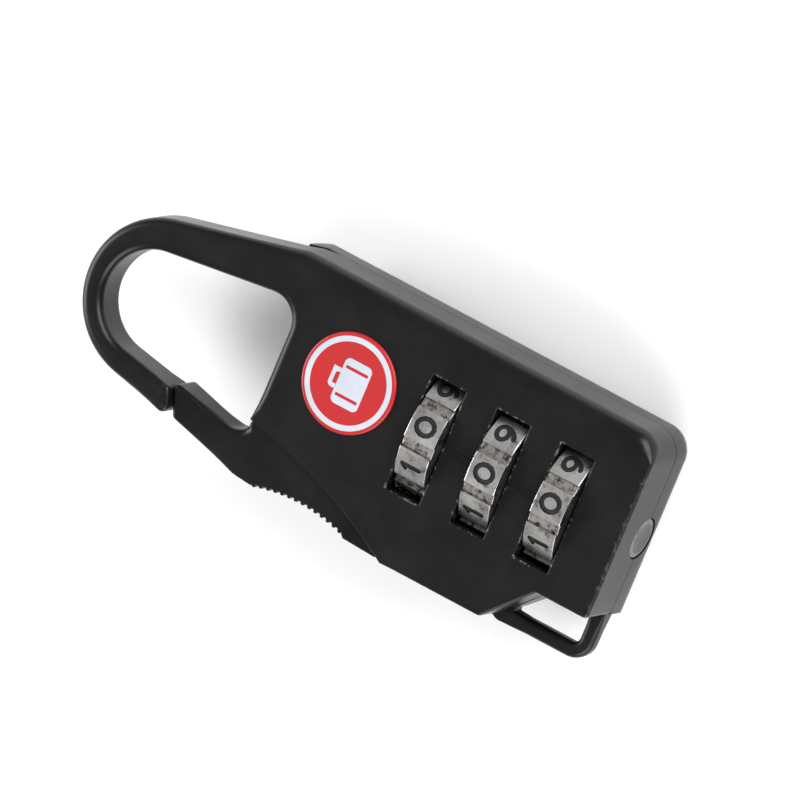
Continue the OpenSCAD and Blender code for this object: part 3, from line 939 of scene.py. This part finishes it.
def add_stamp(bm, patches, place):
    """Adds the solid under all of the patches; place turns (u, v, level) into space, level 0 or 1."""
    points, edges = [], []
    for patch in patches:
        first = len(points)
        points += patch
        edges += [(first + i, first + (i + 1) % len(patch)) for i in range(len(patch))]
    spots, _, faces, _, _, _ = delaunay_2d_cdt(points, edges, [], 1, 1e-4)
    kept = []
    for a, b, c in faces:
        middle = (spots[a] + spots[b] + spots[c]) / 3
        if any(inside_loops(middle, [patch]) for patch in patches):
            turn = (spots[b] - spots[a]).cross(spots[c] - spots[a])
            kept.append((a, b, c) if turn > 0 else (a, c, b))
    used = sorted({i for face in kept for i in face})
    low, high = ({i: bm.verts.new(place(*spots[i], level)) for i in used} for level in (0, 1))
    sides = {(a, b) for face in kept for a, b in zip(face, face[1:] + face[:1])}
    for face in kept:
        bm.faces.new([high[i] for i in face])
        bm.faces.new([low[i] for i in reversed(face)])
    for a, b in sides:
        if (b, a) not in sides:
            bm.faces.new((low[a], low[b], high[b], high[a]))


def dial_outline(band, depth):
    """Cross-section of a dial: ten raised digit pads with bands between them, first pad upwards."""
    half = math.degrees(math.asin(band / 2 / DIAL_RADIUS))
    points = []
    for i in range(10):
        pad = 90 + PAD_STEP * i
        points += arc((0, AXIS_Z), DIAL_RADIUS, pad - PAD_STEP / 2 + half, pad + PAD_STEP / 2 - half, 12)
        for turn in (PAD_STEP / 2 - half + 0.4, PAD_STEP / 2 + half - 0.4):
            points += [arc((0, AXIS_Z), DIAL_RADIUS - depth, pad + turn, pad + turn, 1)[0]]
    return points


class PADLOCK_OT_dials(bpy.types.Operator):
    """Build the three dials with raised pads, rough bands and engraved, filled digits"""
    bl_idname = "padlock.dials"
    bl_label = "Dials"

    def execute(self, context):
        sizes = context.scene.padlock_sizes
        materials = finishes()
        bore = hole([(y, AXIS_Z + z) for y, z in arc((0, 0), 3.0, 0, 354, 59)])
        for name, x, turn in zip(DIALS, DIAL_X, DIAL_TURNS):
            bm = block([dial_outline(sizes.band_width / MM, sizes.band_depth / MM), bore],
                       x - DIAL_WIDTH / 2, x + DIAL_WIDTH / 2, 0.12, 0.12, 0.05, 3, "X")
            dial = piece_from(bm, name + "_wheel", materials["dial_plating"], materials["dial_band"],
                              materials["dial_side"], materials["digit_fill"])
            combine(dial, self.digit_stamps(x, sizes, materials["digit_fill"]), solver="MANIFOLD")
            self.share_out(dial)
            turn_about_axis(dial, turn)
            finished(dial, 28, weld=0)
            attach(dial, name)
            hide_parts(name)
        return {"FINISHED"}

    @staticmethod
    def digit_stamps(x, sizes, material):
        """Solid that cuts the ten digits of a dial into its pads."""
        floor = DIAL_RADIUS - sizes.digit_depth / MM
        bm = bmesh.new()
        for digit in range(10):
            def place(u, v, level, start=math.radians(-PAD_STEP * digit)):
                angle = start + u / DIAL_RADIUS
                radius = floor + level * 0.5
                return (x - v, radius * math.sin(angle), AXIS_Z + radius * math.cos(angle))

            patches = [patch for points, closed in digit_strokes(digit)
                       for patch in stroke_patches(points, closed, sizes.digit_stroke / MM)]
            add_stamp(bm, patches, place)
        bmesh.ops.recalc_face_normals(bm, faces=bm.faces)
        return piece_from(bm, "digit_stamps", material)

    @staticmethod
    def share_out(dial):
        """Gives the bands their own finish, and the side faces a darker metal that is painted shade."""
        slots = [m.name for m in dial.data.materials]
        for face in dial.data.polygons:
            if slots[face.material_index] == "digit_fill":
                continue
            _, y, z = np.array(face.center) / MM - ORIGIN
            radius = math.hypot(y, z - AXIS_Z)
            # painted shade: side faces take the darker metal
            if abs(face.normal.x) > 0.8:
                face.material_index = slots.index("dial_side")
            elif radius < DIAL_RADIUS - 0.08:
                face.material_index = slots.index("dial_band")


def turn_about_axis(piece, degrees):
    """Turns a piece's mesh about the dial axis."""
    middle = Vector((ORIGIN + np.array((0, 0, AXIS_Z))) * MM)
    there = Matrix.Translation(middle) @ Matrix.Rotation(math.radians(degrees), 4, "X")
    piece.data.transform(there @ Matrix.Translation(-middle))


# ---------- small parts ----------

class PADLOCK_OT_badge(bpy.types.Operator):
    """Build the round badge with its pale ring and its suitcase picture"""
    bl_idname = "padlock.badge"
    bl_label = "Badge"

    def execute(self, context):
        materials = finishes()
        low, high = node_box("badge")
        radius = float(high[0] - low[0]) / 2
        top = float(high[2])
        print_top = top - 0.02
        disc = arc(BADGE_MIDDLE, radius, 0, 356.25, 95)
        badge = piece_from(block([disc], FACE_Z, print_top, 0.0, 0.2, 0.05, 5), "badge_disc",
                           materials["badge_red"])
        ring = [arc(BADGE_MIDDLE, radius - 0.42, 0, 356.25, 95),
                hole(arc(BADGE_MIDDLE, radius - 1.02, 0, 356.25, 95))]
        x, y = BADGE_MIDDLE

        def drawn(points):
            return [(x - v, y + u) for u, v in points]

        case = [drawn(rectangle(-2.55, -2.05, 2.55, 1.25, 0.6))]
        for side in (-1, 1):
            stripe = rectangle(side * 1.55 - 0.17, -2.05 + 0.3, side * 1.55 + 0.17, 1.25 - 0.3, 0.1)
            case.append(hole(drawn(stripe)))
        grip = [(-0.65, 1.2), (-0.65, 1.75), (0.65, 1.75), (0.65, 1.2),
                (1.15, 1.2), (1.15, 2.2), (-1.15, 2.2), (-1.15, 1.2)]
        handle = [drawn(softened(grip, [0, 0, 0.3, 0.3, 0, 0, 0.5, 0.5]))]
        for name, loops in (("badge_ring", ring), ("badge_suitcase", case), ("badge_handle", handle)):
            picture = piece_from(block(loops, print_top - 0.05, top, 0.0, 0.015, 0.01, 2), name,
                                 materials["badge_pale"])
            finished(picture, 40)
            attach(picture, "body")
        finished(badge, 40)
        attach(badge, "body")
        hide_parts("badge")
        return {"FINISHED"}


class PADLOCK_OT_button(bpy.types.Operator):
    """Build the spindle with the dished reset button on its end"""
    bl_idname = "padlock.button"
    bl_label = "Reset button"

    def execute(self, context):
        materials = finishes()
        low, high = node_box("spindle")
        end, radius, dish = float(high[0]), 2.3, 5.95
        profile = [(float(low[0]), 0), (float(low[0]), 1.2), (-15.05, 1.2), (-15.05, 1.5),
                   (-12, 1.5), (-12, 1.15), (-11.4, 1.15), (-11.4, 1.5), (12.75, 1.5), (12.75, radius)]
        profile += arc((end - 0.18, radius - 0.18), 0.18, 90, 0, 5)
        middle = END_X + dish - 0.3
        profile += [(middle - math.sqrt(dish ** 2 - r ** 2), r) for r in np.linspace(1.85, 0, 12)]
        spindle = piece_from(turned(profile), "reset_spindle", materials["button_black"])

        def worn(places):
            radius_at = np.hypot(places[:, 1], places[:, 2] - AXIS_Z)
            return 0.8 * ((places[:, 0] > END_X - 0.5) & (radius_at > 1.8))

        finished(spindle, 35, worn)
        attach(spindle, "spindle")
        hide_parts("spindle")
        return {"FINISHED"}


class PADLOCK_OT_inner_parts(bpy.types.Operator):
    """Give the pin, springs, clip, locking bar, sleeves and screws their metal finishes"""
    bl_idname = "padlock.inner_parts"
    bl_label = "Inner parts"

    def execute(self, context):
        materials = finishes()
        choice = {"gate_pin": "dull_steel", "retaining_clip": "dull_steel", "locking_bar": "dull_brass",
                  "gate_return_spring": "spring_wire", "reset_spring": "spring_wire",
                  "shell_screws": "black_screw"}
        choice.update({"sleeve_%d" % i: "dull_brass" for i in (1, 2, 3)})
        choice.update({"detent_spring_%d" % i: "spring_wire" for i in (1, 2, 3)})
        for node, finish in choice.items():
            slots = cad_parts[node].material_slots
            for slot in slots:
                slot.material = materials[finish]
        return {"FINISHED"}


# ---------- stage ----------

def area_light(name, place, target, size, power):
    """Soft square light that faces a point."""
    light = bpy.data.lights.new(name, "AREA")
    light.shape = "RECTANGLE"
    light.size, light.size_y = size
    light.energy = power
    lamp = bpy.data.objects.new(name, light)
    lamp.location = place
    lamp.rotation_euler = (Vector(target) - Vector(place)).to_track_quat("-Z", "Y").to_euler()
    bpy.context.scene.collection.objects.link(lamp)


class PADLOCK_OT_stage(bpy.types.Operator):
    """Set the floor, the soft lights and the camera"""
    bl_idname = "padlock.stage"
    bl_label = "Stage"

    def execute(self, context):
        scene = context.scene
        material, tree, shader = new_material("pale_floor")
        tree.links.new(blend_colours(tree, noise(tree, 3.0, 2.0), (0.90, 0.90, 0.90), (0.88, 0.88, 0.885)),
                       shader.inputs["Base Color"])
        shader.inputs["Roughness"].default_value = 0.9
        bm = bmesh.new()
        bmesh.ops.create_grid(bm, x_segments=8, y_segments=8, size=3.0)
        mesh = bpy.data.meshes.new("floor")
        bm.to_mesh(mesh)
        bm.free()
        mesh.materials.append(material)
        floor = bpy.data.objects.new("floor", mesh)
        scene.collection.objects.link(floor)
        floor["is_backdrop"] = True

        world = bpy.data.worlds.new("studio")
        world.use_nodes = True
        background = world.node_tree.nodes["Background"]
        background.inputs["Color"].default_value = (1.0, 1.0, 1.0, 1.0)
        background.inputs["Strength"].default_value = 0.3
        scene.world = world
        area_light("key", (0.60, 0.70, 0.60), (0, 0, 0), (1.0, 0.7), 15.0)
        area_light("fill", (-0.85, -0.20, 0.45), (0, 0, 0), (0.7, 0.6), 9.0)
        area_light("side", (0.60, -0.70, 0.60), (0, 0, 0), (1.0, 0.7), 11.0)

        back = Vector((0.345, 0.242, 0.907)).normalized()
        across = Vector((0.829, 0.377, -0.416))
        right = (across - back * across.dot(back)).normalized()
        up = back.cross(right)
        middle = Vector(ORIGIN) * MM + Vector((0, 0, FACE_Z * MM))
        target = middle - right * 0.00926 + up * 0.00766
        data = bpy.data.cameras.new("camera")
        data.lens = 1250.0
        data.sensor_width = 36.0
        data.clip_start = 0.01
        camera = bpy.data.objects.new("camera", data)
        axes = Matrix((right, up, back)).transposed().to_4x4()
        camera.matrix_world = Matrix.Translation(target + back * 2.8675) @ axes
        scene.collection.objects.link(camera)
        scene.camera = camera
        scene.view_settings.view_transform = "Standard"
        return {"FINISHED"}


# ---------- add-on ----------

class PadlockSizes(bpy.types.PropertyGroup):
    """Sizes that change the looks but not the frame"""
    spine_edge: FloatProperty(name="Spine edge", description="Rounding of the front edge along the spine",
                              default=0.0017, min=0.0005, max=0.002, unit="LENGTH")
    end_edge: FloatProperty(name="End edge", description="Rounding of the front edge at the bottom end",
                            default=0.0004, min=0.0001, max=0.001, unit="LENGTH")
    hook_edge: FloatProperty(name="Hook edge", description="Rounding of the hook's edges",
                             default=0.0009, min=0.0003, max=0.001, unit="LENGTH")
    gate_edge: FloatProperty(name="Gate edge", description="Rounding of the gate's inner edge",
                             default=0.0009, min=0.0002, max=0.001, unit="LENGTH")
    seam_edge: FloatProperty(name="Seam edge",
                             description="Rounding along the gate's seam and the split line",
                             default=0.00014, min=0.00005, max=0.0002, unit="LENGTH")
    window_edge: FloatProperty(name="Window edge", description="Rounding of the windows' rims",
                               default=0.00012, min=0.00005, max=0.0003, unit="LENGTH")
    loop_edge: FloatProperty(name="Loop edge", description="Rounding of the lanyard loop's bar",
                             default=0.0006, min=0.0002, max=0.0007, unit="LENGTH")
    band_width: FloatProperty(name="Band width", description="Width of the bands between the digit pads",
                              default=0.00118, min=0.0008, max=0.0013, unit="LENGTH")
    band_depth: FloatProperty(name="Band depth", description="Depth of the bands between the digit pads",
                              default=0.0003, min=0.0002, max=0.0004, unit="LENGTH")
    digit_stroke: FloatProperty(name="Digit stroke", description="Width of the digits' strokes",
                                default=0.00054, min=0.0002, max=0.0007, unit="LENGTH")
    digit_depth: FloatProperty(name="Digit depth", description="Depth of the engraved digits",
                               default=0.00016, min=0.0001, max=0.00025, unit="LENGTH")
    ribs: IntProperty(name="Ribs", description="Number of ribs on the thumb rest",
                      default=14, min=8, max=16)


class PadlockColours(bpy.types.PropertyGroup):
    """Colours of the finishes"""
    paint: FloatVectorProperty(name="Paint", description="Colour of the black paint",
                               default=(0.0045, 0.0045, 0.0048), min=0, max=1, subtype="COLOR")
    plating: FloatVectorProperty(name="Plating", description="Colour of the dials' plating",
                                 default=(0.80, 0.78, 0.755), min=0, max=1, subtype="COLOR")
    badge: FloatVectorProperty(name="Badge", description="Colour of the badge's field",
                               default=(0.44, 0.012, 0.014), min=0, max=1, subtype="COLOR")


OPERATORS = (PADLOCK_OT_stage, PADLOCK_OT_front_shell, PADLOCK_OT_back_shell, PADLOCK_OT_gate,
             PADLOCK_OT_dials, PADLOCK_OT_badge, PADLOCK_OT_button, PADLOCK_OT_inner_parts)


class PADLOCK_PT_panel(bpy.types.Panel):
    """Sidebar panel with the padlock's sizes, colours and building steps"""
    bl_label = "Padlock"
    bl_idname = "PADLOCK_PT_panel"
    bl_space_type = "VIEW_3D"
    bl_region_type = "UI"
    bl_category = "Padlock"

    def draw(self, context):
        for group in (context.scene.padlock_sizes, context.scene.padlock_colours):
            box = self.layout.box()
            for name in group.__annotations__:
                box.prop(group, name)
        for operator in OPERATORS:
            self.layout.operator(operator.bl_idname)


CLASSES = (PadlockSizes, PadlockColours, *OPERATORS, PADLOCK_PT_panel)


def register():
    """Registers the add-on's classes and its settings."""
    for cls in CLASSES:
        bpy.utils.register_class(cls)
    bpy.types.Scene.padlock_sizes = PointerProperty(type=PadlockSizes)
    bpy.types.Scene.padlock_colours = PointerProperty(type=PadlockColours)


def unregister():
    """Takes the add-on's classes and settings away."""
    del bpy.types.Scene.padlock_colours
    del bpy.types.Scene.padlock_sizes
    for cls in reversed(CLASSES):
        bpy.utils.unregister_class(cls)


def main():
    """Builds every piece."""
    register()
    bpy.ops.padlock.stage()
    bpy.ops.padlock.front_shell()
    bpy.ops.padlock.back_shell()
    bpy.ops.padlock.gate()
    bpy.ops.padlock.dials()
    bpy.ops.padlock.badge()
    bpy.ops.padlock.button()
    bpy.ops.padlock.inner_parts()
    boxes = {"cad": CAD_BOUNDS, "visual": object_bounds()}
    {name: [list(map(float, corner)) for corner in box] for name, box in boxes.items()}


if __name__ == "__main__":
    main()
